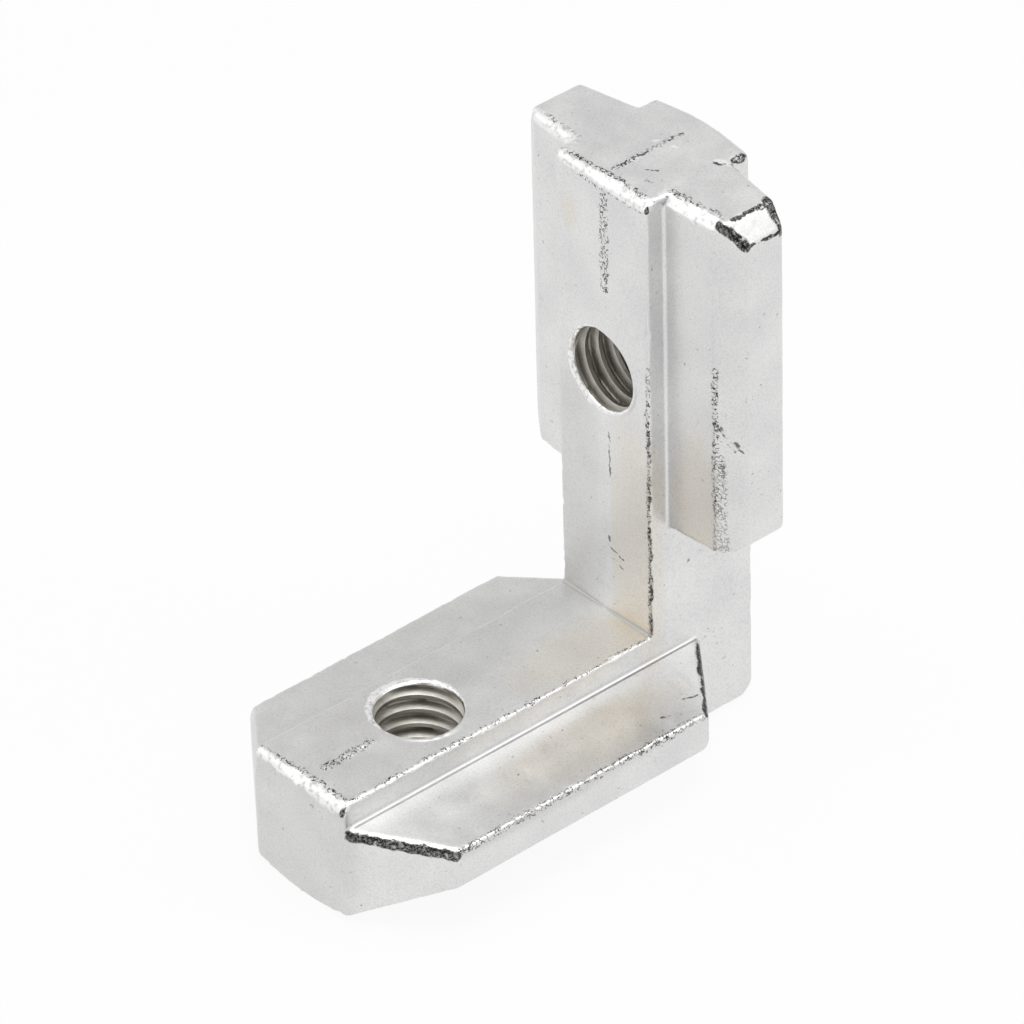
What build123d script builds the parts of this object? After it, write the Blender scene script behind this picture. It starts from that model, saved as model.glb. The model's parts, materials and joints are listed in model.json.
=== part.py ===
"""T slot corner bracket, die-cast in one piece.

An L of two legs that slide into the slots of two framing bars and lock the bars square. Each leg has
the stepped section of the slot: a neck that fills the slot's mouth, wings that catch behind its lips,
and a back that faces the slot's floor. The foot's wings bevel straight down to its underside, and the
upright's stand clear of a rib along its back. One tapped hole in each leg takes a set screw.

The die opens along Y and parts at Y = 0, so faces that run along Y lean back from that plane.
X runs along the foot, from its free end to the upright's back. Z runs up the upright.
The origin is at the middle of the underside. All sizes are in millimetres.
"""

import os
from math import radians, tan

from build123d import *

# Overall sizes
LENGTH = 31.0  # foot's free end to the upright's back, over the crown
HEIGHT = 37.5  # underside to top, over the crown
WIDTH = 17.8  # across the wings

# Section of both legs, with depths taken from the face on the inside of the L
NECK_WIDTH = 7.55
LEG_DEPTH = 7.8  # inside face to the side edges of the back
CROWN = 0.3  # how far the back rises at the parting plane
LAND_WIDTH = 2.4  # flat along the parting plane, where the back is trimmed
INSIDE_DRAFT = 2.0  # lean of the inside, top and end faces from the parting plane, in degrees

# Foot
FOOT_WING_ROOT = 1.8  # depth of the wings' tops where they leave the neck
FOOT_WING_DROP = 0.55  # how much deeper they are at the outer edge
FOOT_WING_EDGE = 2.5  # height of their outer faces
LEAD_IN = 4.0  # length of the slanted corners at the free end
FOOT_WING_LENGTH = 22.7  # free end to where the outer edge stops
RUN_OUT = 3.9  # further length of the wing at its root

# Upright
UPRIGHT_WING_ROOT = 1.45  # depth of the wings' fronts where they leave the neck
RIDGE_DROP = 0.35  # how much deeper the ridge in the wing's front is than the root
BEVEL_WIDTH = 1.55  # from the ridge out to the wing's outer face
BEVEL_DROP = 1.1  # further depth from the ridge to the outer face
UPRIGHT_WING_EDGE = 2.85  # depth of their outer faces
WING_BACK_SLOPE = 0.75  # how much deeper the wings' backs are where they meet the rib
UPRIGHT_WING_LENGTH = 22.5  # down from the top
TOP_CORNER_OUT = 1.05  # chamfer on the wings' top corners, across
TOP_CORNER_DOWN = 1.7  # the same chamfer, down

# Tapped holes, M6 with a 1 mm pitch
THREAD_DIAMETER = 6.0
THREAD_PITCH = 1.0
MOUTH_BEVEL = 0.3  # worn bevel where the thread meets each face
FOOT_HOLE_FROM_TIP = 9.0
UPRIGHT_HOLE_FROM_TOP = 13.0

# Rounded edges
HEEL_RADIUS = 2.1  # outer corner of the L
LEADING_RADIUS = 0.6  # free ends of the inside faces
WING_BACK_RADIUS = 0.6  # outer back edges of the upright's wings
WING_END_RADIUS = 1.4  # lower corners of the upright's wings
SLANT_RADIUS = 0.45  # top edges of the slanted ends of the foot's wings
RUN_OUT_RADIUS = 0.6  # lower edges of the foot's wings where they run out
RIB_RADIUS = 0.25  # side edges of the back
TOP_RADIUS = 0.4  # back edges of the upright's top, and the sides of its chamfered corners
INSIDE_CORNER_RADIUS = 0.2

# Derived places
TIP_X = -LENGTH / 2
BACK_X = LENGTH / 2
FACE_X = BACK_X - CROWN - LEG_DEPTH  # inside face of the upright
FACE_Z = CROWN + LEG_DEPTH  # inside face of the foot
NECK = NECK_WIDTH / 2
WING = WIDTH / 2
LAND = LAND_WIDTH / 2
LEAN = tan(radians(INSIDE_DRAFT))
BORE_RADIUS = (THREAD_DIAMETER - THREAD_PITCH) / 2
ACROSS = (0, -1, 0)
NEAR = 0.05  # allowance when an edge is picked by its place
MOSTLY = 0.7  # part of an edge's direction along an axis from which it counts as running that way


def mirrored(half):
    """Face on the XY plane from the points of its right half, in order along its outline.

    A point with x = 0 lies on the middle line and is used once."""
    left = [(-x, y) for x, y in reversed(half) if x > 0]
    return make_face(Polyline(*half, *left, close=True))


def section(wing):
    """Section of a leg: x runs across it, and y runs from its inside face towards its back.

    wing holds the points of one wing, from its root in front to where it meets the leg behind."""
    return mirrored([
        (0, 0),
        (NECK, NECK * LEAN),
        *wing,
        (NECK, LEG_DEPTH),
        (LAND, LEG_DEPTH + CROWN),
    ])


def foot_section():
    """The foot's wings slope evenly to a sharp outer edge, and bevel down to the underside."""
    outer_depth = FOOT_WING_ROOT + FOOT_WING_DROP
    return section([
        (NECK, FOOT_WING_ROOT),
        (WING, outer_depth),
        (WING, outer_depth + FOOT_WING_EDGE),
    ])


def upright_section():
    """The upright's wings are nearly flat as far as a ridge, bevel back to the outer face, and end
    in a step to the rib. Their outer back corners are rounded."""
    ridge_depth = UPRIGHT_WING_ROOT + RIDGE_DROP
    outer_depth = ridge_depth + BEVEL_DROP
    back_depth = outer_depth + UPRIGHT_WING_EDGE
    outline = section([
        (NECK, UPRIGHT_WING_ROOT),
        (WING - BEVEL_WIDTH, ridge_depth),
        (WING, outer_depth),
        (WING, back_depth),
        (NECK, back_depth + WING_BACK_SLOPE),
    ])
    back_corners = [
        point for point in outline.vertices()
        if abs(point.Y - back_depth) < NEAR and abs(point.X) > WING - NEAR
    ]
    return fillet(back_corners, WING_BACK_RADIUS)


def foot_plan():
    """Outline of the foot from above: x runs across it, and y from its free end to the back."""
    return mirrored([
        (0, 0),
        (NECK, NECK * LEAN),
        (WING, LEAD_IN),
        (WING, FOOT_WING_LENGTH),
        (NECK, FOOT_WING_LENGTH + RUN_OUT),
        (NECK, LENGTH - CROWN),
        (LAND, LENGTH),
    ])


def upright_outline():
    """Outline of the upright from the front: x runs across it, and y from the underside up."""
    wing_bottom = HEIGHT - UPRIGHT_WING_LENGTH
    corner_y = WING - TOP_CORNER_OUT
    outline = mirrored([
        (LAND, 0),
        (NECK, CROWN),
        (NECK, wing_bottom),
        (WING, wing_bottom),
        (WING, HEIGHT - TOP_CORNER_DOWN),
        (corner_y, HEIGHT - corner_y * LEAN),
        (0, HEIGHT),
    ])
    lower_corners = [
        point for point in outline.vertices()
        if abs(point.Y - wing_bottom) < NEAR and abs(point.X) > WING - NEAR
    ]
    return fillet(lower_corners, WING_END_RADIUS)


def side_outline():
    """Outline of the L from the side, with its heel rounded."""
    heel = (BACK_X, 0)
    outline = make_face(Polyline(
        (TIP_X, 0), heel, (BACK_X, HEIGHT), (FACE_X, HEIGHT), (FACE_X, FACE_Z), (TIP_X, FACE_Z),
        close=True,
    ))
    return fillet(outline.vertices().sort_by_distance(heel)[0], HEEL_RADIUS)


def runs_across(edge):
    """Whether an edge runs mostly along Y."""
    return abs(edge.tangent_at(0.5).Y) > MOSTLY


def inside_corner_edges(body):
    """Edges where the two inside faces meet."""
    return [
        edge for edge in body.edges()
        if runs_across(edge)
        and abs(edge.center().X - FACE_X) < NECK * LEAN + NEAR
        and abs(edge.center().Z - FACE_Z) < NECK * LEAN + NEAR
    ]


def tip_edges(body):
    """Edges between the foot's inside face and its free end."""
    return [
        edge for edge in body.edges()
        if runs_across(edge)
        and abs(edge.center().Y) < NECK
        and edge.center().X < TIP_X + NECK * LEAN
        and edge.center().Z > FACE_Z - NECK * LEAN
    ]


def top_front_edges(body):
    """Edges between the upright's top and its front, on the neck and on the wings as far as the ridges."""
    deepest = FACE_X + UPRIGHT_WING_ROOT + RIDGE_DROP
    return [
        edge for edge in body.edges()
        if runs_across(edge)
        and edge.center().X < deepest + NEAR
        and edge.center().Z > HEIGHT - WING * LEAN - NEAR
    ]


def top_back_edges(body):
    """Edges between the upright's top and the backs of its rib and wings."""
    return [
        edge for edge in body.edges()
        if runs_across(edge)
        and edge.center().X > FACE_X + UPRIGHT_WING_ROOT + RIDGE_DROP + BEVEL_DROP + UPRIGHT_WING_EDGE / 2
        and edge.center().Z > HEIGHT - WING * LEAN - NEAR
    ]


def top_corner_edges(body):
    """Front and back edges of the chamfers on the wings' top corners."""
    return [
        edge for edge in body.edges()
        if WING - TOP_CORNER_OUT < abs(edge.center().Y) < WING - NEAR
        and edge.center().Z > HEIGHT - TOP_CORNER_DOWN
        and abs(edge.tangent_at(0.5).Z) > MOSTLY
    ]


def slant_edges(body):
    """Upper edges of the slanted ends of the foot's wings."""
    root = FACE_Z - FOOT_WING_ROOT
    return [
        edge for edge in body.edges()
        if edge.tangent_at(0.5).Y != 0
        and NECK < abs(edge.center().Y) < WING - NEAR
        and root - FOOT_WING_DROP < edge.center().Z < root
    ]


def run_out_edges(body):
    """Lower edges of the slanted back ends of the foot's wings."""
    return [
        edge for edge in body.edges()
        if NECK + NEAR < abs(edge.center().Y) < WING - NEAR
        and edge.center().X > TIP_X + FOOT_WING_LENGTH
        and edge.center().Z < FACE_Z - FOOT_WING_ROOT - FOOT_WING_DROP - FOOT_WING_EDGE
    ]


def rib_edges(body):
    """Upright edges at the two sides of the rib's back."""
    return [
        edge for edge in body.edges()
        if abs(edge.center().Y) > NECK - NEAR
        and abs(edge.tangent_at(0.5).Z) > MOSTLY
        and edge.center().X > BACK_X - CROWN - NEAR
    ]


def both_sides(leg, edges, radius):
    """A leg with some edges that cross the parting plane rounded on one half, which is then mirrored."""
    half = split(leg, bisect_by=Plane.XZ)
    half = fillet(edges(half), radius)
    return half + mirror(half, about=Plane.XZ)


def foot():
    """The leg along X: its section carried along it, within its outline from above."""
    end = Plane(origin=(TIP_X, 0, FACE_Z), x_dir=ACROSS, z_dir=(1, 0, 0))
    base = Plane(origin=(TIP_X, 0, 0), x_dir=ACROSS, z_dir=(0, 0, 1))
    leg = extrude(end * foot_section(), LENGTH) & extrude(base * foot_plan(), FACE_Z)
    leg = both_sides(leg, tip_edges, LEADING_RADIUS)
    leg = fillet(slant_edges(leg), SLANT_RADIUS)
    return fillet(run_out_edges(leg), RUN_OUT_RADIUS)


def upright():
    """The leg along Z: its section carried up it, within its outline from the front."""
    base = Plane(origin=(FACE_X, 0, 0), x_dir=ACROSS, z_dir=(0, 0, 1))
    back = Plane(origin=(BACK_X, 0, 0), x_dir=ACROSS, z_dir=(-1, 0, 0))
    depth = LEG_DEPTH + CROWN
    leg = extrude(base * upright_section(), HEIGHT) & extrude(back * upright_outline(), depth)
    leg = fillet(top_back_edges(leg) + top_corner_edges(leg), TOP_RADIUS)
    return both_sides(leg, top_front_edges, LEADING_RADIUS)


def bore():
    """Tool for one tapped hole, along Z, from the inside face at z = 0 down through the leg."""
    through = LEG_DEPTH + CROWN
    hole = Cylinder(BORE_RADIUS, 3 * through)
    mouth = Cone(BORE_RADIUS, BORE_RADIUS + 2 * MOUTH_BEVEL, 2 * MOUTH_BEVEL)
    back = Pos(0, 0, -through) * Rot(180, 0, 0) * mouth
    return hole + mouth + back


def bracket():
    """The whole casting."""
    body = foot() + upright()
    body &= extrude(Plane.XZ * side_outline(), WING, both=True)
    body = fillet(inside_corner_edges(body), INSIDE_CORNER_RADIUS)
    body = fillet(rib_edges(body), RIB_RADIUS)
    body -= Pos(TIP_X + FOOT_HOLE_FROM_TIP, 0, FACE_Z) * bore()
    body -= Pos(FACE_X, 0, HEIGHT - UPRIGHT_HOLE_FROM_TOP) * Rot(0, -90, 0) * bore()
    return body


def main():
    os.makedirs("parts", exist_ok=True)
    part = bracket()
    part.label = "bracket"
    export_step(part, "parts/bracket.step")
    box = part.bounding_box()
    print("size", box.size, "volume", part.volume)


if __name__ == "__main__":
    main()
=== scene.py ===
"""Looks of a die-cast T slot corner bracket: a rough plated skin, two tapped holes and a pale studio.

The frame's solid is given the surface of a real casting. Its edges are worn round, its skin is wavy and
pitted, the die's parting line and trimmed edges carry flash, and a thread is cut through each bore.
The mesh is worked in millimetres and is put in metres at the end.
"""

import itertools
import json
from math import cos, pi, radians, sin

import bmesh
import bpy
import numpy as np
from bpy.props import FloatProperty, IntProperty, PointerProperty, StringProperty
from mathutils import Matrix, Vector


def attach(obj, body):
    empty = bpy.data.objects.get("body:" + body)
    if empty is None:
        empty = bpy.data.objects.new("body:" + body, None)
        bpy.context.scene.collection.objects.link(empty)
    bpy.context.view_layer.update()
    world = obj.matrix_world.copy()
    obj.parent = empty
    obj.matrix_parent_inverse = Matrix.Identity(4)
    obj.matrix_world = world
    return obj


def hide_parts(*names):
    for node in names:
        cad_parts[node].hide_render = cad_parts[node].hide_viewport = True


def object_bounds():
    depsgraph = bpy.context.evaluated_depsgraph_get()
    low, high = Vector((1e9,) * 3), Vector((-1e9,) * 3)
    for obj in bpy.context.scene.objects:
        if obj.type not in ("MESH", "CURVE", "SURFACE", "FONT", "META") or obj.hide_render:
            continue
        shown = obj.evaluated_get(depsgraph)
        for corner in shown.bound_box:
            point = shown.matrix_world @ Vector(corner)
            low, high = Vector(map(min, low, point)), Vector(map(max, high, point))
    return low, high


bl_info = {
    "name": "T slot corner bracket",
    "version": (1, 0, 0),
    "blender": (4, 5, 0),
    "location": "3D View > Sidebar > Bracket",
    "description": "Builds the visual model of a die-cast corner bracket and its studio",
    "category": "Object",
}

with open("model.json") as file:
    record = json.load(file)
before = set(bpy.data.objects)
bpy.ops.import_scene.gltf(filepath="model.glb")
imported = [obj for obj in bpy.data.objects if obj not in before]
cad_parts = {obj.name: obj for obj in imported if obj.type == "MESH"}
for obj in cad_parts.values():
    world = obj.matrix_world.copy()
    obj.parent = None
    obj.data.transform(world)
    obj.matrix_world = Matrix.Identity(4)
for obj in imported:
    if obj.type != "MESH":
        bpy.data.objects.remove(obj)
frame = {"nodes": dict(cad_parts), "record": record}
CAD_BOX = [list(corner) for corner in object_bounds()]

MM = 1000  # millimetres in a metre
LOW, HIGH = (np.array(corner) * MM for corner in CAD_BOX)
MOUNTS = {mount["name"]: mount for mount in frame["record"]["mounts"]}
BORE_RADIUS = MOUNTS["foot_hole"]["dims"]["r_mm"]

# Places on the casting, in millimetres, from the frame's box and mounts
TIP_X, BACK_X, TOP_Z, WING = LOW[0], HIGH[0], HIGH[2], HIGH[1]
FACE_Z = 2 * MOUNTS["foot_hole"]["pos_m"][2] * MM
FACE_X = 2 * MOUNTS["upright_hole"]["pos_m"][0] * MM - BACK_X
FOOT_HOLE_X = MOUNTS["foot_hole"]["pos_m"][0] * MM
UPRIGHT_HOLE_Z = MOUNTS["upright_hole"]["pos_m"][2] * MM

# Depths below the inside faces and distances from the ends, in millimetres, that the frame doesn't hold
NECK = 3.775  # half the neck's width
NECK_EDGE = 0.13  # depth of the neck's edges, because the inside faces lean
FOOT_ROOT, FOOT_LIP = 1.8, 2.35  # depth of the foot's wing tops at the neck and at their outer edges
LEAD_IN, FOOT_WING_END, RUN_OUT = 4.0, 22.7, 3.9  # of the foot's wings, along the foot
WING_ROOT_END = 26.3  # where the foot's wings stop at the neck, from the tip
ROOT, RIDGE, BEVEL, WING_BACK = 1.45, 1.8, 2.9, 5.75  # depths on the upright's wings, front to back
RIDGE_Y = WING - 1.55
CORNER_OUT, CORNER_DOWN = 1.05, 1.7  # chamfered top corners of the upright's wings
WING_LENGTH = 22.5  # of the upright's wings, down from the top
PARTING = 0.42  # how far the parting marks on the inside faces lie towards -Y
TOP_STRIP = (0.9, 7.4)  # ends of the torn strip there on the upright, from the top
FOOT_STRIP = (1.4, 5.6)  # and on the foot, from the tip
BLUNT_DEPTH, BLUNT_GROWTH = 0.5, 0.035  # of the inside faces' ends, in the middle and per mm towards -Y
MOUTH = 0.15  # to the middle of the bevels round the bores' mouths, outwards and down
BARE_DEPTH = 0.2  # below the faces, where the plating gives way to the thread's bare zinc
TAP_END, TAP_FADE = 0.2, 0.4  # how far the thread runs into the bevels, and the length it fades out over
THREAD_REACH = BORE_RADIUS + 0.52  # just past the thread's root
WORN_BEND = 3  # turn of the surface on a fully worn edge, in radians per millimetre

LATTICE = 32  # values along each side of a noise lattice


# Arrays

def noise(points, size, seed):
    """Smooth random field from -1 to 1: random values at the corners of cubes of the given size, blended
    across each cube by the curve 3t^2 - 2t^3 along each axis."""
    lattice = np.random.default_rng(seed).uniform(-1, 1, (LATTICE,) * 3)
    cell = np.floor(points / size).astype(int)
    t = points / size - cell
    t = t * t * (3 - 2 * t)
    field = np.zeros(len(points))
    for corner in itertools.product((0, 1), repeat=3):
        weight = np.where(corner, t, 1 - t).prod(axis=1)
        field += weight * lattice[tuple(((cell + corner) % LATTICE).T)]
    return field


def near(value, place, width):
    """Bell curve, 1 where value is at place, falling off over width."""
    return np.exp(-(((value - place) / width) ** 2))


def between(value, low, high, soft):
    """1 between two limits and 0 outside them, with soft ends."""
    return np.clip((value - low) / soft, 0, 1) * np.clip((high - value) / soft, 0, 1)


def spread(points, edges, rounds, share):
    """Moves each point towards the mean of its neighbours by a share of the way, several times over."""
    start, end = edges.T
    count = np.bincount(edges.ravel(), minlength=len(points))[:, None]
    for _ in range(rounds):
        total = np.stack([
            np.bincount(start, column[end], len(points)) + np.bincount(end, column[start], len(points))
            for column in points.T
        ], axis=1)
        points = points + share * (total / count - points)
    return points


# Meshes

def read(elements, name, width, kind=float):
    """One property of all of a mesh's elements as an array."""
    values = np.empty(len(elements) * width, kind)
    elements.foreach_get(name, values)
    return values.reshape(-1, width)


def shown(name, mesh):
    """Object that shows a mesh."""
    piece = bpy.data.objects.new(name, mesh)
    bpy.context.scene.collection.objects.link(piece)
    return piece


def apply(piece, kind, **settings):
    """Gives the piece one modifier and bakes it into its mesh."""
    modifier = piece.modifiers.new(kind.title(), kind)
    for name, value in settings.items():
        setattr(modifier, name, value)
    bpy.context.view_layer.update()
    finished = piece.evaluated_get(bpy.context.evaluated_depsgraph_get())
    mesh = bpy.data.meshes.new_from_object(finished)
    piece.modifiers.clear()
    piece.data = mesh


def merged_copy(node):
    """Copy of a frame node's mesh in millimetres, with its loose triangles joined."""
    work = bmesh.new()
    work.from_mesh(node.data)
    bmesh.ops.scale(work, vec=(MM,) * 3, verts=work.verts)
    bmesh.ops.remove_doubles(work, verts=work.verts, dist=0.0005)
    mesh = bpy.data.meshes.new("casting")
    work.to_mesh(mesh)
    work.free()
    return mesh


def flash(points, height):
    """How far the die's flash stands out at each point. Along the parting plane it is a rough strip where
    the trimming tool tore it and a thin line elsewhere. On the trimmed long edges it is a ragged lip."""
    x, y, z = points.T
    ragged = np.clip(0.6 + 0.8 * noise(points, 0.55, 11) + 0.5 * noise(points, 0.25, 12), 0, 1.6)
    top_front = near(x, FACE_X, 0.5) * between(z, TOP_Z - TOP_STRIP[1], TOP_Z - TOP_STRIP[0], 0.7)
    foot_front = near(z, FACE_Z, 0.5) * between(x, TIP_X + FOOT_STRIP[0], TIP_X + FOOT_STRIP[1], 0.5)
    strip = near(-y, PARTING, 0.2) * np.maximum(top_front, foot_front)
    line = near(y, 0.0, 0.07) * 0.12
    along_foot = near(z, FACE_Z - NECK_EDGE, 0.12) * (x < FACE_X)
    along_upright = near(x, FACE_X + NECK_EDGE, 0.12) * (z > FACE_Z)
    neck_lip = near(-y, NECK, 0.12) * np.maximum(along_foot, along_upright)
    wing_lip = near(abs(y), WING, 0.14) * near(z, FACE_Z - FOOT_LIP, 0.14)
    return height * ragged * (strip + line + 0.6 * neck_lip + 0.6 * wing_lip)


def chips(points, edge, depth):
    """How deep the worn edges are nicked at each point: rounded bites where a noise field is high."""
    bite = np.clip(noise(points, 0.9, 21) + 0.5 * noise(points, 0.35, 22) - 0.25, 0, 1)
    return depth * edge * bite


def blunted(points):
    """Moves points at the ends of the inside faces, where the metal didn't fill the die, onto a ragged plane
    across the edge. On it, the distances from the face and from the end add up to its depth. A point that
    has less is moved away from both by half of what it lacks. The plane is deeper on the near side."""
    x, y, z = points.T
    ragged = 0.1 * noise(points, 1.4, 61) + 0.04 * noise(points, 0.5, 62)
    depth = BLUNT_DEPTH - BLUNT_GROWTH * y + ragged
    on_neck = abs(y) < NECK + 0.02
    wing_front = FACE_X + ROOT + (RIDGE - ROOT) * (abs(y) - NECK) / (RIDGE_Y - NECK)
    front = np.where(on_neck, FACE_X, wing_front)
    top = np.clip(depth - (x - front) - (TOP_Z - z), 0, None) / 2 * (abs(y) < RIDGE_Y) * (x > 0)
    tip = np.clip(depth - (x - TIP_X) - (FACE_Z - z), 0, None) / 2 * on_neck * (x < 0)
    return points + np.stack([top + tip, 0 * y, -top - tip], axis=1)


def burr(points, height):
    """How far the tap's burr stands out at each point of the bevels round the bores' mouths. On the far side
    it was torn off."""
    x, y, z = points.T
    ragged = np.clip(0.9 - 0.35 * y + 0.5 * noise(points, 0.5, 51), 0, 1.5)
    foot_ring = near(np.hypot(x - FOOT_HOLE_X, y), BORE_RADIUS + MOUTH, MOUTH)
    upright_ring = near(np.hypot(z - UPRIGHT_HOLE_Z, y), BORE_RADIUS + MOUTH, MOUTH)
    foot_rim = foot_ring * (near(z, FACE_Z - MOUTH, MOUTH) + near(z, LOW[2] + MOUTH, MOUTH))
    upright_rim = upright_ring * (near(x, FACE_X + MOUTH, MOUTH) + near(x, BACK_X - MOUTH, MOUTH))
    return height * ragged * (foot_rim + upright_rim)


def weather(mesh, sizes):
    """Turns a casting's fine mesh into the surface of a real one, inside its box. Its edges are worn round
    and its corners stay. The height along the normals is then the sum of a slow wave, a fine grain, the
    flash and the burr, less the pits and the chips, and the ends of the inside faces are blunted."""
    edges = read(mesh.edges, "vertices", 2, np.int32)
    points = read(mesh.vertices, "co", 3)
    normals = read(mesh.vertices, "normal", 3)
    move = spread(points, edges, sizes.wear_rounds, 0.5) - points
    outward = np.clip((move * normals).sum(axis=1), 0, None)  # what would fill the corners
    rounded = points + move - 0.9 * outward[:, None] * normals
    mesh.vertices.foreach_set("co", rounded.ravel())
    mesh.update()
    normals = read(mesh.vertices, "normal", 3)
    sunk = ((points - spread(points, edges, 8, 0.5)) * normals).sum(axis=1)
    edge = np.clip(sunk / 0.04, 0, 1)  # 1 where eight rounds of wear would sink the point by 0.04 mm
    height = (
        sizes.wave * MM * (noise(points, 5.0, 1) + 0.4 * noise(points, 1.7, 2))
        + sizes.grain * MM * noise(points, 0.45, 3)
        + flash(points, sizes.flash * MM)
        - sizes.pit * MM * np.clip(2 * noise(points, 0.3, 31) - 1.2, 0, 1)
        + burr(points, sizes.burr * MM)
        - chips(points, edge, sizes.chip * MM)
    )
    weathered = np.clip(blunted(rounded + height[:, None] * normals), LOW, HIGH)
    mesh.vertices.foreach_set("co", weathered.ravel())
    mesh.update()


def tap(mount, sizes):
    """Screw-shaped solid that cuts the thread of one bore, in millimetres, with its place in its mesh.

    The surface has two parameters, the angle round the axis and the height along it. Each row climbs by
    one pitch in a turn, so the rows follow the thread. The radius goes from the thread's inner to its
    outer one with a flat of a quarter pitch inside and an eighth outside, and straight flanks between.
    At the mouths the burr closes the groove, so it fades out there."""
    pitch = sizes.pitch * MM
    inner, outer = BORE_RADIUS + 0.02, sizes.outer_diameter * MM / 2  # clear of the bore's own wall
    rows_per_turn, columns = sizes.rows_per_turn, sizes.columns
    length = mount["dims"]["length_mm"] + 4 * pitch
    rows = int(length / pitch) * rows_per_turn + 1
    row, column = np.meshgrid(np.arange(rows), np.arange(columns), indexing="ij")
    share = row / rows_per_turn % 1
    angle = 2 * pi * column / columns
    height = pitch * (row / rows_per_turn + column / columns) - length / 2
    full = np.clip((mount["dims"]["length_mm"] / 2 + TAP_END - abs(height)) / TAP_FADE, 0.1, 1)
    rise = full * np.clip((3 / 8 - abs(share - 5 / 8)) / (5 / 16), 0, 1)
    place = np.stack([inner * np.cos(angle), inner * np.sin(angle), height], axis=-1).reshape(-1, 3)
    rough = (0.03 * noise(place, 0.9, 41) + 0.015 * noise(place, 0.3, 42)).reshape(rise.shape)
    radius = inner + (outer - inner) * rise + rough * rise
    surface = np.stack([radius * np.cos(angle), radius * np.sin(angle), height], axis=-1).reshape(-1, 3)

    number = np.arange(rows * columns).reshape(rows, columns)
    right = np.vstack([number[:, 1:].T, np.append(number[rows_per_turn:, 0], [-1] * rows_per_turn)[None]]).T
    quads = np.stack([number[:-1], right[:-1], right[1:], number[1:]], axis=-1).reshape(-1, 4)
    quads = quads[(quads >= 0).all(axis=1)]
    start_ring = np.concatenate([number[0], number[rows_per_turn:0:-1, 0]])
    end_ring = np.concatenate([number[-1], number[-2:-rows_per_turn - 2:-1, -1]])
    start_centre, end_centre = len(surface), len(surface) + 1
    caps = [
        np.stack([np.roll(start_ring, -1), start_ring, np.full_like(start_ring, start_centre)], axis=1),
        np.stack([end_ring, np.roll(end_ring, -1), np.full_like(end_ring, end_centre)], axis=1),
    ]
    ends = [(0, 0, height.min() - pitch), (0, 0, height.max() + pitch)]
    mesh = bpy.data.meshes.new("tap")
    faces = quads.tolist() + caps[0].tolist() + caps[1].tolist()
    mesh.from_pydata(np.vstack([surface, ends]).tolist(), [], faces)
    turn = Vector(mount["axis"]).to_track_quat("Z", "Y").to_matrix().to_4x4()
    mesh.transform(Matrix.Translation(Vector(mount["pos_m"]) * MM) @ turn)
    return mesh


def thread_share(mesh):
    """For each face, whether it lies on a thread: near a bore's axis and below its mouth on the inside face,
    and not looking out of its other mouth."""
    x, y, z = read(mesh.polygons, "center", 3).T
    in_foot = (np.hypot(x - FOOT_HOLE_X, y) < THREAD_REACH) & (z < FACE_Z - BARE_DEPTH)
    in_upright = (np.hypot(z - UPRIGHT_HOLE_Z, y) < THREAD_REACH) & (x > FACE_X + BARE_DEPTH)
    normal = read(mesh.polygons, "normal", 3)
    outward = (in_foot & (normal[:, 2] < -0.9)) | (in_upright & (normal[:, 0] > 0.9))
    return (in_foot | in_upright) & ~outward


def edge_wear(mesh):
    """Writes how worn each point is: the mean turn of the normal along the edges that leave the point, which
    is positive on outer edges and negative in corners, spread to its neighbours."""
    points = read(mesh.vertices, "co", 3)
    normals = read(mesh.vertices, "normal", 3)
    edges = read(mesh.edges, "vertices", 2, np.int32)
    start, end = edges.T
    along = points[end] - points[start]
    length = np.maximum(np.linalg.norm(along, axis=1), 0.02)  # so that tiny facets don't count for much
    turn = ((normals[end] - normals[start]) * along).sum(axis=1) / length ** 2
    count = np.maximum(np.bincount(edges.ravel(), minlength=len(points)), 1)
    total = np.bincount(start, turn, len(points)) + np.bincount(end, turn, len(points))
    bend = spread((total / count)[:, None], edges, 2, 0.5)[:, 0]
    worn = np.clip(bend / WORN_BEND, 0, 1)
    attribute = mesh.attributes.new("wear", "FLOAT", "POINT")
    attribute.data.foreach_set("value", worn.astype(np.float32))


# Materials

def linear(text):
    """Linear colour of an sRGB hex value."""
    parts = [int(text[i:i + 2], 16) / 255 for i in (1, 3, 5)]
    return [p / 12.92 if p <= 0.04045 else ((p + 0.055) / 1.055) ** 2.4 for p in parts] + [1]


def add(tree, kind, inputs=None, out=0, stops=None, **settings):
    """Adds a node and gives back one of its outputs, by name or number. inputs gives its sockets a value or
    the socket that feeds them, by name or number, stops sets the two ends of a colour ramp, and the other
    settings are the node's own."""
    node = tree.nodes.new("ShaderNode" + kind)
    for name, value in settings.items():
        setattr(node, name, value)
    for key, value in (inputs or {}).items():
        if isinstance(value, bpy.types.NodeSocket):
            tree.links.new(value, node.inputs[key])
        else:
            node.inputs[key].default_value = value
    if stops:
        for stop, (place, value) in zip(node.color_ramp.elements, stops):
            stop.position = place
            stop.color = value if isinstance(value, list) else [value] * 3 + [1]
    return node.outputs[out] if node.outputs else None


def blank_material(name):
    """New material with an empty tree, and the tree."""
    material = bpy.data.materials.new(name)
    material.use_nodes = True
    material.node_tree.nodes.clear()
    return material, material.node_tree


def on_foot(along, across, depth):
    """Place on the foot, from its distances from the free end, the parting plane and the inside face."""
    return TIP_X + along, across, FACE_Z - depth


def on_upright(down, across, depth):
    """Place on the upright, from its distances from the top, the parting plane and the inside face."""
    return FACE_X + depth, across, TOP_Z - down


FOOT_LENGTH = FACE_X - TIP_X
UPRIGHT_LENGTH = TOP_Z - FACE_Z
FOOT_HOLE = FOOT_HOLE_X - TIP_X
UPRIGHT_HOLE = TOP_Z - UPRIGHT_HOLE_Z

TINT_BORDER = 0.12  # millimetres across, over which a tint begins

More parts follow.
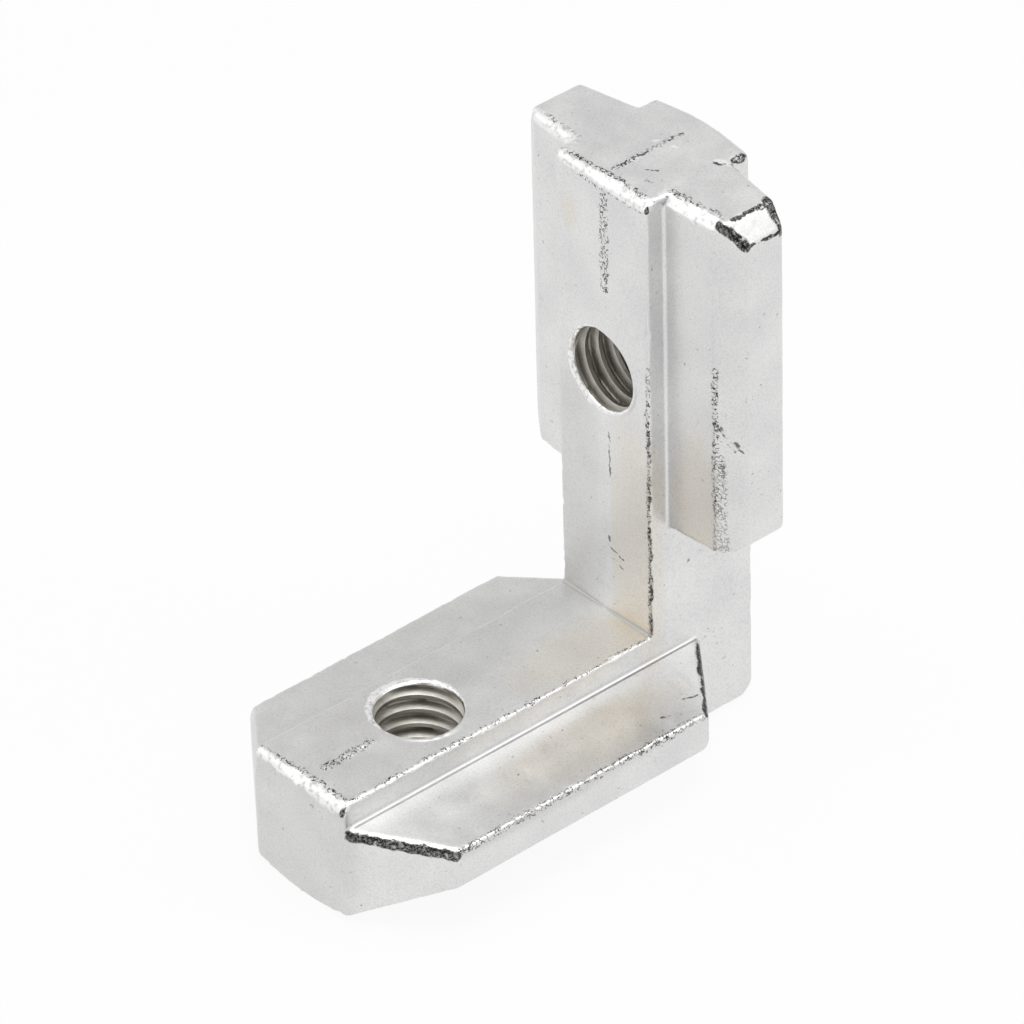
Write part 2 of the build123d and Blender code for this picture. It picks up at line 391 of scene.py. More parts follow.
# Where the plating is tinted: colour, centre, reach along X, Y and Z, and how far across it begins, in
# millimetres. The stain tints are yellowed plating, and the grey ones are painted shade on the foot, its tip
# and low on the upright's inside face. Here and in the marks below, across is counted towards -Y, the side
# that shows them.
TINTS = (
    ("stain", on_upright(24.0, 2.6, 0), (1.6, 3.4, 11.0), PARTING + 0.15),
    ("stain", on_upright(3.6, -2.6, 0), (1.2, 0.9, 1.5), -WING),
    ("stain", on_foot(19.5, 2.0, 0), (6.5, 3.0, 1.4), -WING),
    ("stain", on_foot(15.5, 6.4, FOOT_ROOT + 0.4), (9.0, 2.6, 1.4), NECK),
    ("stain", on_upright(19.5, 5.8, RIDGE), (1.6, 2.2, 6.0), NECK),
    ("painted_shade", on_foot(6.0, 1.5, 0), (11.0, 6.0, 2.0), -WING),
    ("painted_shade", on_foot(13.0, -5.0, 1.0), (16.0, 7.0, 4.0), -WING),
    ("painted_shade", on_foot(11.0, WING - 0.2, FOOT_LIP), (12.0, 2.6, 1.0), NECK),
    ("painted_shade", on_foot(0, 0, 4.5), (1.2, 8.0, 7.0), -WING),
    ("painted_shade", on_upright(22.0, -2.6, 0), (1.2, 3.2, 12.0), -WING),
)

# Marks along edges of the casting: start, end and reach, in millimetres
TORN_EDGE_HIGHLIGHTS = (  # bright: edges where the flash was trimmed off, painted pale also as their highlight
    (on_foot(0.6, NECK, NECK_EDGE), on_foot(FOOT_LENGTH, NECK, NECK_EDGE), 0.26),
    (on_foot(LEAD_IN, WING, FOOT_LIP), on_foot(FOOT_WING_END, WING, FOOT_LIP), 0.17),
    (on_foot(0.5, NECK + 0.5, FOOT_ROOT), on_foot(LEAD_IN, WING, FOOT_LIP), 0.12),
    (on_upright(0, 0.1, 2.5), on_upright(0, 0.1, 2.9), 0.2),
    (on_upright(0, 0.7, 5.0), on_upright(0, 0.8, 5.1), 0.22),
    (on_upright(0, -0.5, 4.6), on_upright(0, -0.4, 4.8), 0.18),
    (on_upright(0, NECK - 0.6, WING_BACK + 0.2), on_upright(0, NECK + 0.3, WING_BACK + 0.5), 0.35),
)
PAINTED_HIGHLIGHT_ENDS = (  # painted highlights: pale and mottled bands along the rounded ends
    (on_foot(0.1, -NECK, 0.25), on_foot(0.1, 0, 0.1), 0.6),
    (on_foot(0.1, 0, 0.1), on_foot(0.25, NECK, 0.25), 0.8),
    (on_upright(0.25, -NECK, 0.25), on_upright(0.1, 0, 0.1), 0.65),
    (on_upright(0.1, 0, 0.1), on_upright(0.25, NECK, 0.25), 0.85),
    (on_upright(0.25, NECK, ROOT + 0.2), on_upright(0.45, RIDGE_Y, RIDGE + 0.2), 0.75),
    (on_upright(0.35, -NECK, ROOT + 0.2), on_upright(0.45, -RIDGE_Y, RIDGE + 0.2), 0.7),
)
DARK_REFLECTIONS_AND_MARKS = (  # black and ragged: painted dark reflections along rounded edges, and a few dark marks on the upright's top
    (on_upright(0.35, RIDGE_Y + 0.3, RIDGE + 0.2), on_upright(CORNER_DOWN, WING, BEVEL), 0.55),
    (on_upright(0.3, WING - CORNER_OUT, WING_BACK - 0.1), on_upright(CORNER_DOWN, WING, WING_BACK), 0.8),
    (on_upright(0.3, WING - CORNER_OUT, BEVEL), on_upright(0.3, WING - CORNER_OUT, WING_BACK), 0.25),
    (on_upright(CORNER_DOWN, WING, BEVEL), on_upright(CORNER_DOWN, WING, WING_BACK), 0.2),
    (on_foot(0.35, NECK + 0.35, FOOT_ROOT + 0.3), on_foot(LEAD_IN, WING, FOOT_LIP + 0.26), 0.55),
    (on_foot(FOOT_WING_END, WING, FOOT_LIP), on_foot(FOOT_WING_END + 0.5 * RUN_OUT, 6.3, 2.2), 0.45),
    (on_foot(FOOT_WING_END + 0.5 * RUN_OUT, 6.3, 2.2),
     on_foot(FOOT_WING_END + 0.9 * RUN_OUT, 4.4, 2.0), 0.6),
    (on_foot(0.15, NECK, 0.35), on_foot(0.15, NECK, 0.6), 0.4),
    (on_upright(0.35, NECK, 0.15), on_upright(0.6, NECK, 0.15), 0.3),
    (on_upright(0.1, NECK, WING_BACK + 0.9), on_upright(0.3, NECK, WING_BACK + 1.6), 0.45),
    (on_upright(0, NECK - 0.5, WING_BACK - 0.1), on_upright(0, NECK - 0.1, WING_BACK + 0.2), 0.25),
    (on_upright(0, 0, 1.4), on_upright(0, -0.1, 2.2), 0.12),
    (on_upright(0, 0, 3.0), on_upright(0, 0.05, 3.6), 0.12),
    (on_upright(0, 0.1, 5.2), on_upright(0, 0.1, 5.5), 0.12),
)
GREY_EDGES = (  # dull and a little uneven
    (on_upright(15.0, NECK, NECK_EDGE), on_upright(UPRIGHT_LENGTH, NECK, NECK_EDGE), 0.2),
    (on_upright(17.0, PARTING + 0.1, 0), on_upright(20.0, PARTING + 0.15, 0), 0.1),
)
SCRATCHES = (  # fine, broken and dark
    (on_upright(24.3, 0.35, 0), on_upright(24.4, 0.45, 0), 0.16),
    (on_upright(24.8, 0.4, 0), on_upright(25.3, 1.6, 0), 0.08),
    (on_upright(25.4, 0.5, 0), on_upright(25.9, 1.5, 0), 0.07),
    (on_upright(14.0, 7.5, 1.95), on_upright(15.6, 8.75, 2.8), 0.09),
    (on_upright(14.7, 7.7, 2.1), on_upright(15.3, 8.3, 2.5), 0.07),
    (on_upright(14.8, 8.35, 2.5), on_upright(15.0, 8.45, 2.55), 0.22),
    (on_upright(13.9, 7.5, 1.95), on_upright(14.0, 7.6, 1.95), 0.25),
    (on_foot(6.2, -5.0, FOOT_ROOT), on_foot(6.9, -4.9, FOOT_ROOT), 0.1),
    # painted shade: a broken dark line along the far edge of the upright's inside face
    (on_upright(1.0, -NECK, 0), on_upright(22.0, -NECK, 0), 0.1),
    (on_upright(0, 2.0, 1.6), on_upright(0, 2.4, 1.9), 0.12),
    (on_upright(0, 1.3, 2.4), on_upright(0, 1.8, 2.8), 0.12),
    (on_upright(0, 3.2, 2.4), on_upright(0, 3.6, 2.8), 0.1),
    (on_upright(0, 4.6, 3.4), on_upright(0, 5.1, 3.8), 0.12),
    (on_foot(FOOT_WING_END - 2.4, 7.6, 2.2), on_foot(FOOT_WING_END - 1.9, 7.8, 2.2), 0.12),
    (on_foot(FOOT_WING_END - 0.4, 7.2, 2.1), on_foot(FOOT_WING_END + 0.4, 7.4, 2.2), 0.1),
)
ROOT_SHADE_LINES = (  # painted shade: straight grey lines beside the wings' roots
    (on_foot(0.9, NECK + 0.14, FOOT_ROOT), on_foot(WING_ROOT_END, NECK + 0.14, FOOT_ROOT), 0.1),
    (on_upright(WING_LENGTH - 2, NECK, ROOT), on_upright(WING_LENGTH, NECK, ROOT), 0.08),
)
INNER_CORNER_SHADE = (  # painted shade, where the two legs meet
    (on_foot(FOOT_LENGTH, -NECK, 0), on_foot(FOOT_LENGTH, NECK, 0), 0.22),
)
PAINTED_HIGHLIGHT_LINES = (  # painted highlights: straight thin lines along the wings' roots and the upright's neck edge
    (on_foot(0.9, NECK, FOOT_ROOT - 0.1), on_foot(WING_ROOT_END, NECK, FOOT_ROOT - 0.1), 0.11),
    (on_upright(0.9, NECK, ROOT), on_upright(WING_LENGTH, NECK, ROOT), 0.1),
    (on_upright(1.0, NECK, NECK_EDGE), on_upright(UPRIGHT_LENGTH, NECK, NECK_EDGE), 0.08),
)
CRUMBS = (  # crumbled skin, in thin dark curls
    (on_upright(1.0, PARTING, 0), on_upright(7.2, PARTING, 0), 0.42),
    (on_foot(1.7, PARTING, 0), on_foot(5.0, PARTING, 0), 0.42),
    (on_upright(0, 0, 1.2), on_upright(0, 0, 6.2), 0.22),
    (on_foot(0.6, NECK - 0.1, 0), on_foot(FOOT_LENGTH, NECK - 0.1, 0), 0.3),
    (on_foot(LEAD_IN, WING, FOOT_LIP + 0.1), on_foot(FOOT_WING_END, WING, FOOT_LIP + 0.1), 0.35),
    (on_foot(0.55, -NECK, 0), on_foot(0.75, NECK, 0), 0.25),
    (on_upright(0, -NECK, 0.55), on_upright(0, NECK, 0.75), 0.25),
    (on_upright(0, NECK, ROOT + 0.7), on_upright(0, RIDGE_Y, RIDGE + 0.8), 0.35),
    (on_upright(0, -NECK, ROOT + 0.5), on_upright(0, -RIDGE_Y, RIDGE + 0.5), 0.3),
    (on_upright(0.6, -NECK, 0), on_upright(0.8, NECK, 0), 0.12),
    (on_upright(10.0, RIDGE_Y, RIDGE), on_upright(17.0, RIDGE_Y + 0.1, RIDGE), 0.25),
    (on_upright(16.0, RIDGE_Y + 0.2, RIDGE), on_upright(22.3, RIDGE_Y + 0.3, RIDGE + 0.2), 0.55),
    (on_upright(11.0, NECK - 0.1, NECK_EDGE), on_upright(UPRIGHT_LENGTH, NECK - 0.1, NECK_EDGE), 0.2),
)

# Torn rims of the bores, a little to one side, painted pale and mottled, partly as a painted highlight. Each
# is a short line along the axis, whose mask falls to RIM_MASK at the rim's radius.
RIM_RADIUS, RIM_MASK = 2.78, 0.22
RIM_REACH = RIM_RADIUS / (1 - RIM_MASK)
RIMS = (
    (on_foot(FOOT_HOLE - 0.06, -0.36, -0.2), on_foot(FOOT_HOLE - 0.06, -0.36, 0.2), RIM_REACH),
    (on_upright(UPRIGHT_HOLE + 0.1, -0.16, -0.2), on_upright(UPRIGHT_HOLE + 0.1, -0.16, 0.2), RIM_REACH),
)


def line_mask(tree, position, start, end, reach):
    """1 on the line from one place to another, falling evenly to 0 at its reach, all in millimetres."""
    along = [(b - a) / MM for a, b in zip(start, end)]
    per_square = 1 / sum(v * v for v in along)
    offset = add(tree, "VectorMath", {0: position, 1: [a / MM for a in start]}, operation="SUBTRACT")
    share = add(tree, "VectorMath", {0: offset, 1: [v * per_square for v in along]}, "Value",
                operation="DOT_PRODUCT")
    held = add(tree, "Clamp", {"Value": share})
    foot = add(tree, "VectorMath", {0: along, "Scale": held}, operation="SCALE")
    gap = add(tree, "VectorMath", {0: offset, 1: foot}, "Value", operation="DISTANCE")
    return add(tree, "MapRange", {"Value": gap, "From Min": 0.0, "From Max": reach / MM, "To Min": 1.0,
                                  "To Max": 0.0})


def marked(tree, position, marks, low, high):
    """Share from 0 to 1 where the strongest of several line masks is between two limits."""
    strongest = 0.0
    for start, end, reach in marks:
        mask = line_mask(tree, position, start, end, reach)
        strongest = add(tree, "Math", {0: strongest, 1: mask}, operation="MAXIMUM")
    return add(tree, "ValToRGB", {"Fac": strongest}, stops=((low, 0.0), (high, 1.0)))


def tinted(tree, position, colour, colours):
    """Tints a colour inside soft ellipsoids whose edges are broken up by noise."""
    cloud = add(tree, "TexNoise", {"Vector": position, "Scale": MM / 2.4, "Detail": 4.0})
    across = add(tree, "SeparateXYZ", {"Vector": position}, "Y")
    for tint, centre, reach, begin in TINTS:
        scale = [MM / r for r in reach]
        offset = [-c / r for c, r in zip(centre, reach)]
        ball = add(tree, "Mapping", {"Vector": position, "Location": offset, "Scale": scale})
        fade = add(tree, "TexGradient", {"Vector": ball}, "Fac", gradient_type="SPHERICAL")
        border = add(tree, "MapRange", {"Value": across, "From Min": begin / MM,
                                        "From Max": (begin + TINT_BORDER) / MM})
        patch = add(tree, "Math", {0: fade, 1: cloud}, operation="MULTIPLY")
        patch = add(tree, "Math", {0: patch, 1: border}, operation="MULTIPLY")
        share = add(tree, "ValToRGB", {"Fac": patch}, stops=((0.02, 0.0), (0.25, 0.45)))
        colour = add(tree, "Mix", {"Factor": share, "A": colour, "B": linear(getattr(colours, tint))},
                     "Result", data_type="RGBA")
    return colour


def edge_marks(tree, position, near_side, fields, colour, colours):
    """Adds the marks along the casting's edges to a colour. Many of them are painted highlights, painted
    shade and painted dark reflections. The fields are the noise of its patches, its crumbs and its grain."""
    patch, crumb, grain = fields

    # Places that are made ragged by a shift of about 0.15 mm
    shift = add(tree, "TexNoise", {"Vector": position, "Scale": MM / 1.0, "Detail": 4.0, "Roughness": 0.6},
                "Color")
    shift = add(tree, "VectorMath", {0: shift, 1: (0.5, 0.5, 0.5)}, operation="SUBTRACT")
    shift = add(tree, "VectorMath", {0: shift, "Scale": 0.7 / MM}, operation="SCALE")
    ragged = add(tree, "VectorMath", {0: near_side, 1: shift}, operation="ADD")

    # Thin curls, where the crumbs' noise passes its middle value
    curl = add(tree, "Math", {0: crumb, 1: 0.5}, operation="SUBTRACT")
    curl = add(tree, "Math", {0: curl}, operation="ABSOLUTE")
    curl = add(tree, "ValToRGB", {"Fac": curl}, stops=((0.015, 1.0), (0.045, 0.0)))
    gathered = add(tree, "ValToRGB", {"Fac": patch}, stops=((0.3, 0.35), (0.5, 1.0)))
    curls = add(tree, "Math", {0: curl, 1: gathered}, operation="MULTIPLY")

    # Black of the painted dark reflections and marks, which some crumbs and grains break through
    black = add(tree, "ValToRGB", {"Fac": crumb}, stops=((0.34, 0.45), (0.4, 1.0)))
    speckled = add(tree, "ValToRGB", {"Fac": grain}, stops=((0.45, 1.0), (0.62, 0.65)))
    black = add(tree, "Math", {0: black, 1: speckled}, operation="MULTIPLY")

    uneven = add(tree, "ValToRGB", {"Fac": crumb}, stops=((0.4, 0.4), (0.5, 0.8)))
    broken = add(tree, "ValToRGB", {"Fac": crumb}, stops=((0.42, 0.1), (0.5, 0.8)))
    # Pale clean metal, also used for painted highlights; painted shade for the inner corner; and dirt, also
    # used for painted shade and dark reflections
    torn_highlight, corner, dirt_and_shade = linear(colours.torn_highlight), linear(colours.corner), linear(colours.dirt_and_shade)
    # Mottled from painted shade to the pale colour, for the painted highlight bands and the rims
    mottled_highlight = add(tree, "ValToRGB", {"Fac": crumb}, stops=((0.33, linear(colours.painted_shade)), (0.5, torn_highlight)))

    # Layers from the lowest to the top one: where, which marks, the limits of their masks, how strong they
    # are and their colour
    layers = (
        (ragged, PAINTED_HIGHLIGHT_ENDS, 0.2, 0.5, 1.0, mottled_highlight),
        (near_side, PAINTED_HIGHLIGHT_LINES, 0.1, 0.5, 1.0, torn_highlight),
        (ragged, GREY_EDGES, 0.2, 0.6, uneven, dirt_and_shade),
        (ragged, SCRATCHES, 0.1, 0.5, broken, dirt_and_shade),
        (near_side, ROOT_SHADE_LINES, 0.1, 0.5, 0.55, dirt_and_shade),
        (near_side, INNER_CORNER_SHADE, 0.1, 0.6, 1.0, corner),
        (ragged, TORN_EDGE_HIGHLIGHTS, 0.25, 0.5, 1.0, torn_highlight),
        (ragged, RIMS, RIM_MASK, RIM_MASK + 0.02, 1.0, mottled_highlight),
        (ragged, CRUMBS, 0.1, 0.3, curls, dirt_and_shade),
        (ragged, DARK_REFLECTIONS_AND_MARKS, 0.3, 0.45, black, dirt_and_shade),
    )
    for place, marks, low, high, strength, tone in layers:
        mask = marked(tree, place, marks, low, high)
        share = add(tree, "Math", {0: mask, 1: strength}, operation="MULTIPLY")
        colour = add(tree, "Mix", {"Factor": share, "A": colour, "B": tone}, "Result", data_type="RGBA")
    return colour


def plated_zinc(colours):
    """Bright zinc plating over a die-cast zinc skin. The plating is thin and follows the rough skin, so it
    gives a satin grey metal with a fine grain and small pits, bright edges where flash was trimmed off, and
    black crumbs where the skin is broken. Its colour also holds painted light: pale painted highlights along
    edges and ends, and painted shade and dark reflections along edges, in the inner corner and on some
    faces."""
    material, tree = blank_material("bright zinc plating, die cast")
    position = add(tree, "TexCoord", out="Object")

    # Y turned round, so that the tables' places at -Y are met as positive ones
    near_side = add(tree, "VectorMath", {0: position, 1: (1.0, -1.0, 1.0)}, operation="MULTIPLY")

    # Clouds of about 3 mm, patches of 3.5 mm, crumbs and pits of 0.3 mm, and a grain of 0.12 mm
    cloud = add(tree, "TexNoise", {"Vector": position, "Scale": MM / 3.0, "Detail": 5.0})
    patch = add(tree, "TexNoise", {"Vector": position, "Scale": MM / 3.5, "Detail": 2.0})
    crumb = add(tree, "TexNoise", {"Vector": position, "Scale": MM / 0.3, "Detail": 3.0})
    grain = add(tree, "TexNoise", {"Vector": position, "Scale": MM / 0.12, "Detail": 3.0, "Roughness": 0.7})

    tone = add(tree, "ValToRGB", {"Fac": cloud},
               stops=((0.35, linear(colours.zinc_dull)), (0.65, linear(colours.zinc))))
    tone = tinted(tree, near_side, tone, colours)
    shade = add(tree, "ValToRGB", {"Fac": grain}, stops=((0.3, 0.84), (0.55, 1.0)))
    colour = add(tree, "Mix", {"Factor": 1.0, "A": tone, "B": shade}, "Result", data_type="RGBA",
                 blend_type="MULTIPLY")

    # Small pits, which gather in patches
    pit = add(tree, "ValToRGB", {"Fac": crumb}, stops=((0.68, 0.0), (0.76, 1.0)))
    gathered = add(tree, "ValToRGB", {"Fac": patch}, stops=((0.35, 0.1), (0.65, 0.7)))
    pits = add(tree, "Math", {0: pit, 1: gathered}, operation="MULTIPLY")
    colour = add(tree, "Mix", {"Factor": pits, "A": colour, "B": linear(colours.dirt_and_shade)}, "Result",
                 data_type="RGBA")
    colour = edge_marks(tree, position, near_side, (patch, crumb, grain), colour, colours)

    # Roughness from 0.27 to 0.38, in clouds of 1.5 mm
    gloss = add(tree, "TexNoise", {"Vector": position, "Scale": MM / 1.5, "Detail": 4.0})
    roughness = add(tree, "MapRange", {"Value": gloss, "From Min": 0.3, "From Max": 0.7, "To Min": 0.27,
                                       "To Max": 0.38})

    # Skin that swells by 0.008 mm over 0.8 mm, with a grain 0.006 mm high
    swell = add(tree, "TexNoise", {"Vector": position, "Scale": MM / 0.8, "Detail": 2.0})
    skin = add(tree, "Bump", {"Height": swell, "Strength": 1.0, "Distance": 0.008 / MM})
    skin = add(tree, "Bump", {"Height": grain, "Strength": 1.0, "Distance": 0.006 / MM, "Normal": skin})
    shader = add(tree, "BsdfPrincipled", {"Base Color": colour, "Metallic": 1.0, "Roughness": roughness,
                                          "Normal": skin})
    add(tree, "OutputMaterial", {"Surface": shader})
    return material


def tapped_zinc(colours):
    """Bare die-cast zinc where the thread was cut after casting. It is darker and browner than the plating,
    with oil and swarf dust in the grooves and bright rubbed crests."""
    material, tree = blank_material("bare zinc, tapped thread")
    position = add(tree, "TexCoord", out="Object")

    # Oil and dust in clouds of 1.2 mm, rubbed off the crests by half
    cloud = add(tree, "TexNoise", {"Vector": position, "Scale": MM / 1.2, "Detail": 4.0})
    tone = add(tree, "ValToRGB", {"Fac": cloud},
               stops=((0.35, linear(colours.thread_dark)), (0.65, linear(colours.thread))))
    worn = add(tree, "Attribute", out="Fac", attribute_name="wear")
    rubbed = add(tree, "Math", {0: worn, 1: 0.5}, operation="MULTIPLY")
    colour = add(tree, "Mix", {"Factor": rubbed, "A": tone, "B": linear(colours.rubbed)}, "Result",
                 data_type="RGBA")

    # Marks of the tap, 0.01 mm high and 0.2 mm apart
    grain = add(tree, "TexNoise", {"Vector": position, "Scale": MM / 0.2, "Detail": 3.0})
    cut = add(tree, "Bump", {"Height": grain, "Strength": 1.0, "Distance": 0.01 / MM})
    shader = add(tree, "BsdfPrincipled", {"Base Color": colour, "Metallic": 1.0, "Roughness": 0.4,
                                          "Normal": cut})
    add(tree, "OutputMaterial", {"Surface": shader})
    return material


def seen_rays(tree):
    """1 on rays from the camera, through reflections and through clear things, and 0 on the rest."""
    seen = 0.0
    for kind in ("Is Camera Ray", "Is Glossy Ray", "Is Transmission Ray"):
        ray = add(tree, "LightPath", out=kind)
        seen = add(tree, "Math", {0: seen, 1: ray}, operation="MAXIMUM")
    return seen


# How much of the paper's look, to the camera and in reflections, is a plain white glow
FLOOR_GLOW = 0.9


def pale_floor(colours):
    """Matt white paper. Seen by the camera and in reflections it mostly glows, so that it is white away from
    the object and still keeps the object's soft shadow."""
    material, tree = blank_material("matt white paper")
    paper = add(tree, "BsdfDiffuse", {"Color": linear(colours.floor)})
    glow = add(tree, "Emission", {"Color": linear("#FFFFFF"), "Strength": 1.0})
    share = add(tree, "Math", {0: seen_rays(tree), 1: FLOOR_GLOW}, operation="MULTIPLY")
    surface = add(tree, "MixShader", {0: share, 1: paper, 2: glow})
    add(tree, "OutputMaterial", {"Surface": surface})
    return material


def glowing_card(name, colour):
    """Card that looks the same from everywhere, for the metal to mirror: felt gives rounded edges their dark
    lines, and grey paper tones the faces that look up."""
    material, tree = blank_material(name)
    glow = add(tree, "Emission", {"Color": linear(colour), "Strength": 1.0})
    add(tree, "OutputMaterial", {"Surface": glow})
    return material


# Settings

class CastingSizes(bpy.types.PropertyGroup):
    """Sizes of the casting's real surface."""
    detail: FloatProperty(name="Detail", description="Size of the facets before they are thinned out",
                          default=0.0001, unit="LENGTH", precision=6)
    triangles: IntProperty(name="Triangles", description="Triangles before the threads are cut",
                           default=165000)
    wear_rounds: IntProperty(name="Wear", description="Rounds of wear on the edges", default=5)
    wave: FloatProperty(name="Wave", description="Height of the skin's slow waves", default=0.000012,
                        unit="LENGTH", precision=6)
    grain: FloatProperty(name="Grain", description="Height of the skin's grain", default=0.000003,
                         unit="LENGTH", precision=6)
    burr: FloatProperty(name="Burr", description="Height of the burr round the holes' mouths",
                        default=0.00008, unit="LENGTH", precision=6)
    pit: FloatProperty(name="Pits", description="Depth of the casting's pits", default=0.00002,
                       unit="LENGTH", precision=6)
    chip: FloatProperty(name="Chips", description="Depth of the nicks along the edges", default=0.00009,
                        unit="LENGTH", precision=6)
    flash: FloatProperty(name="Flash", description="Height of the flash on the parting line and the edges",
                         default=0.00006, unit="LENGTH", precision=6)


class ThreadSizes(bpy.types.PropertyGroup):
    """Sizes of the tapped holes' thread."""
    outer_diameter: FloatProperty(name="Outer diameter", description="Diameter at the thread's root",
                                  default=0.006, unit="LENGTH", precision=5)
    pitch: FloatProperty(name="Pitch", description="Advance of the thread in one turn", default=0.001,
                         unit="LENGTH", precision=5)
    rows_per_turn: IntProperty(name="Rows", description="Rows of facets in one pitch", default=12)
    columns: IntProperty(name="Columns", description="Facets round the axis", default=72)


class FinishColours(bpy.types.PropertyGroup):
    """Colours of the finishes, as sRGB hex values."""
    zinc: StringProperty(name="Plating", description="Bright zinc plating", default="#E8E8E7")
    zinc_dull: StringProperty(name="Dull plating", description="Plating over rougher skin",
                              default="#DEDEDE")
    rubbed: StringProperty(name="Rubbed crest", description="Crests of the thread", default="#F1F0ED")
    # Pale clean metal of the trimmed edges, also used for painted highlights
    torn_highlight: StringProperty(name="Torn edge and highlight", description="Clean metal where flash was trimmed, and painted highlights",
                         default="#F3F3F3")
    stain: StringProperty(name="Stain", description="Yellowed plating", default="#E3DACB")
    # Painted shade: darker plating on the foot, its tip and low on the upright's inside face
    painted_shade: StringProperty(name="Painted shade patch", description="Plating darkened as painted shade", default="#CBCAC7")
    # Painted shade along the inner corner where the legs meet
    corner: StringProperty(name="Corner", description="Painted shade in the inner corner", default="#B4B2AE")
    # Dirt, also used for painted shade beside the wings' roots and painted dark reflections along edges
    dirt_and_shade: StringProperty(name="Dirt", description="Dirt in pits and broken skin, painted shade and dark reflections", default="#2B2A28")
    thread: StringProperty(name="Thread", description="Bare cut zinc", default="#C1BEB6")
    thread_dark: StringProperty(name="Dark thread", description="Oily cut zinc", default="#A9A49A")
    floor: StringProperty(name="Floor", description="Paper floor", default="#FFFFFF")


class StudioSizes(bpy.types.PropertyGroup):
    """Camera and lamps of the studio."""
    azimuth: FloatProperty(name="Azimuth", description="Camera's direction round the bracket",
                           default=radians(-40.33), subtype="ANGLE")
    elevation: FloatProperty(name="Elevation", description="Camera's height above the horizon",
                             default=radians(36.21), subtype="ANGLE")
    roll: FloatProperty(name="Roll", description="Camera's turn about its own axis", default=radians(1.5),
                        subtype="ANGLE")
    distance: FloatProperty(name="Distance", description="Camera to the bracket's middle", default=0.4975,
                            unit="LENGTH", precision=4)
    pixels_per_mm: FloatProperty(name="Scale", description="Pixels to a millimetre at the bracket's middle",
                                 default=18.057)
    world_light: FloatProperty(name="Room light", description="Strength of the light from all round",
                               default=0.5)
    floor_width: FloatProperty(name="Floor width", description="Side of the square floor", default=1.2,
                               unit="LENGTH")


# Pieces

class BRACKET_OT_casting(bpy.types.Operator):
    """Build the die casting with its worn skin and its two threads"""
    bl_idname = "bracket.casting"
    bl_label = "Casting"

    def execute(self, context):
        scene = context.scene
        sizes, thread = scene.bracket_casting, scene.bracket_thread
        piece = shown("casting", merged_copy(frame["nodes"]["bracket"]))
        apply(piece, "REMESH", mode="VOXEL", voxel_size=sizes.detail * MM)
        weather(piece.data, sizes)
        triangles = 2 * len(piece.data.polygons)
        apply(piece, "DECIMATE", ratio=min(1, sizes.triangles / triangles))
        for name in ("foot_hole", "upright_hole"):
            tool = shown(name + "_tap", tap(MOUNTS[name], thread))
            apply(piece, "BOOLEAN", operation="DIFFERENCE", solver="MANIFOLD", object=tool)
            bpy.data.objects.remove(tool)
        mesh = piece.data
        mesh.materials.clear()
        mesh.materials.append(plated_zinc(scene.bracket_finish))
        mesh.materials.append(tapped_zinc(scene.bracket_finish))
        mesh.polygons.foreach_set("material_index", thread_share(mesh).astype(np.int32))
        mesh.polygons.foreach_set("use_smooth", np.ones(len(mesh.polygons), bool))
        mesh.set_sharp_from_angle(angle=radians(50))
        edge_wear(mesh)
        mesh.transform(Matrix.Scale(1 / MM, 4))
        mesh.update()
        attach(piece, "root")
        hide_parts("bracket")
        print("casting triangles", sum(len(p.vertices) - 2 for p in mesh.polygons))
        return {"FINISHED"}


def plate(name, centre, facing, width, height, material):
    """Flat square-cornered card that faces a point."""
    mesh = bpy.data.meshes.new(name)
    corners = [(sx * width / 2, sy * height / 2, 0) for sx, sy in ((-1, -1), (1, -1), (1, 1), (-1, 1))]
    mesh.from_pydata(corners, [], [(0, 1, 2, 3)])
    turn = (Vector(facing) - Vector(centre)).to_track_quat("Z", "Y").to_matrix().to_4x4()
    mesh.transform(Matrix.Translation(centre) @ turn)
    mesh.materials.append(material)
    card = shown(name, mesh)
    return card


def direction(azimuth, elevation):
    """Unit vector towards a place round the bracket, with azimuth 0 on the -Y side."""
    return Vector((sin(azimuth) * cos(elevation), -cos(azimuth) * cos(elevation), sin(elevation)))


# How far the camera aims beside the bracket's middle: right, up and towards it, in millimetres
AIM_OFFSET = (0.51, -0.22, 0.0)

# Lamps: azimuth and elevation in degrees, distance and side in metres, and how bright each looks
LAMPS = (
    ("overhead lamp", 20, 86, 0.40, 0.34, 2.0),
    ("right lamp", 44, 42, 0.40, 0.20, 1.0),
    ("left lamp", -136, 34, 0.40, 0.20, 0.38),
)

# Cards: material, azimuth and elevation in degrees, distance, width and height in metres
CARDS = (
    ("grey felt", -38, 30, 0.30, 0.26, 0.26),
    ("black felt", -16, 2, 0.26, 0.16, 0.12),
    ("black felt", 92, -2, 0.22, 0.16, 0.07),
    ("grey paper", 139, 36, 0.36, 0.40, 0.40),
)
CARD_COLOURS = {"black felt": "#101010", "grey felt": "#909090", "grey paper": "#E7E7E7"}


